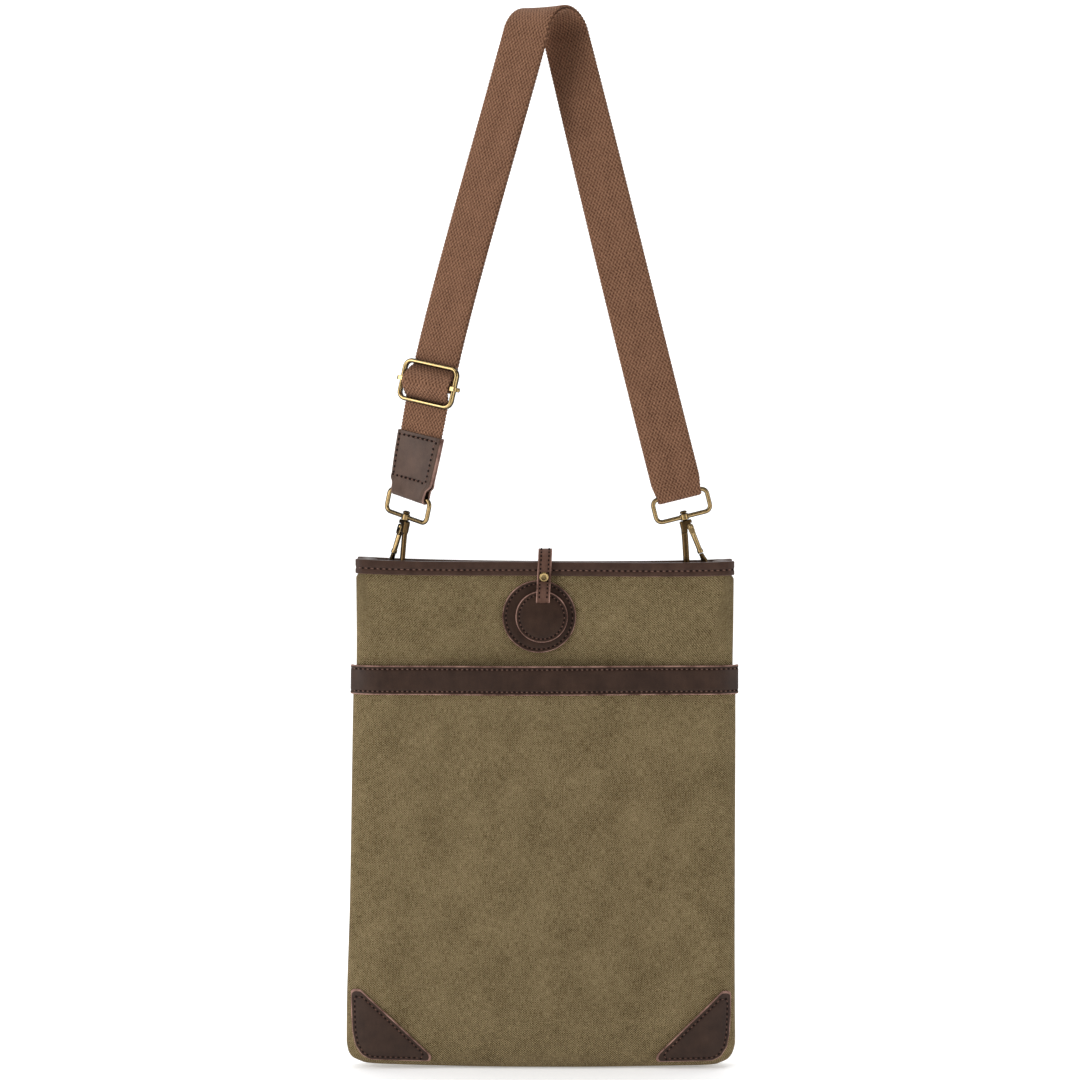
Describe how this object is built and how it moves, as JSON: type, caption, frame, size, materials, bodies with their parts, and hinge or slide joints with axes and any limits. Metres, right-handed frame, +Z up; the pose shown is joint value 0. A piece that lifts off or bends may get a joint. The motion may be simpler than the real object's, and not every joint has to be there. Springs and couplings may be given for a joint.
{
  "type": "tablet pouch",
  "caption": "Flat canvas pouch with leather trim, slip pocket and button tab, held by an adjustable webbing strap with swivel hooks.",
  "frame": {"origin": "under the crown of the strap, where it hangs", "axes": "+Z up, +X to the right seen from the front, -Y towards the front, where the pocket is"},
  "size_m": [0.2486, 0.0455, 0.6742],
  "materials": {
    "canvas": "washed olive canvas, matt",
    "leather": "dark brown leather, half matt, with cut edges",
    "webbing": "red-brown woven cotton webbing",
    "brass": "antique brass, dark in the hollows"
  },
  "bodies": {
    "pouch_and_strap": {"canvas_body": "canvas", "pocket_panel": "canvas", "top_binding": "leather", "pocket_band": "leather", "corner_patch_left": "leather", "corner_patch_right": "leather", "closure_base_disc": "leather", "closure_button_disc": "leather", "closure_tab": "leather", "strap_end_leather": "leather", "left_dring_tab": "leather", "right_dring_tab": "leather", "strap_webbing": "webbing", "tab_rivet": "brass", "slider_frame": "brass", "slider_bar": "brass", "left_ring": "brass", "left_dring": "brass", "right_ring": "brass", "right_dring": "brass"},
    "left_hook": {"left_hook": "brass"},
    "left_gate": {"left_gate": "brass"},
    "right_hook": {"right_hook": "brass"},
    "right_gate": {"right_gate": "brass"}
  },
  "joints": [
    {"name": "left_hook_swivel", "type": "hinge", "parent": "pouch_and_strap", "child": "left_hook", "pos_m": [-0.0871, -0.00377, -0.31672], "axis": [0.2034, -0.1023, 0.9737], "range_deg": [-3, 40]},
    {"name": "left_gate_hinge", "type": "hinge", "parent": "left_hook", "child": "left_gate", "pos_m": [-0.08991, -0.00141, -0.32307], "axis": [-0.7508, -0.6547, 0.088], "range_deg": [0, 14], "stiffness_Nm_per_rad": 0.03, "springref_deg": -17.19},
    {"name": "right_hook_swivel", "type": "hinge", "parent": "pouch_and_strap", "child": "right_hook", "pos_m": [0.08989, 0, -0.31684], "axis": [-0.2419, 0, 0.9703], "range_deg": [-25, 25]},
    {"name": "right_gate_hinge", "type": "hinge", "parent": "right_hook", "child": "right_gate", "pos_m": [0.09371, 0, -0.3231], "axis": [0, 1, 0], "range_deg": [0, 14], "stiffness_Nm_per_rad": 0.03, "springref_deg": -17.19}
  ]
}
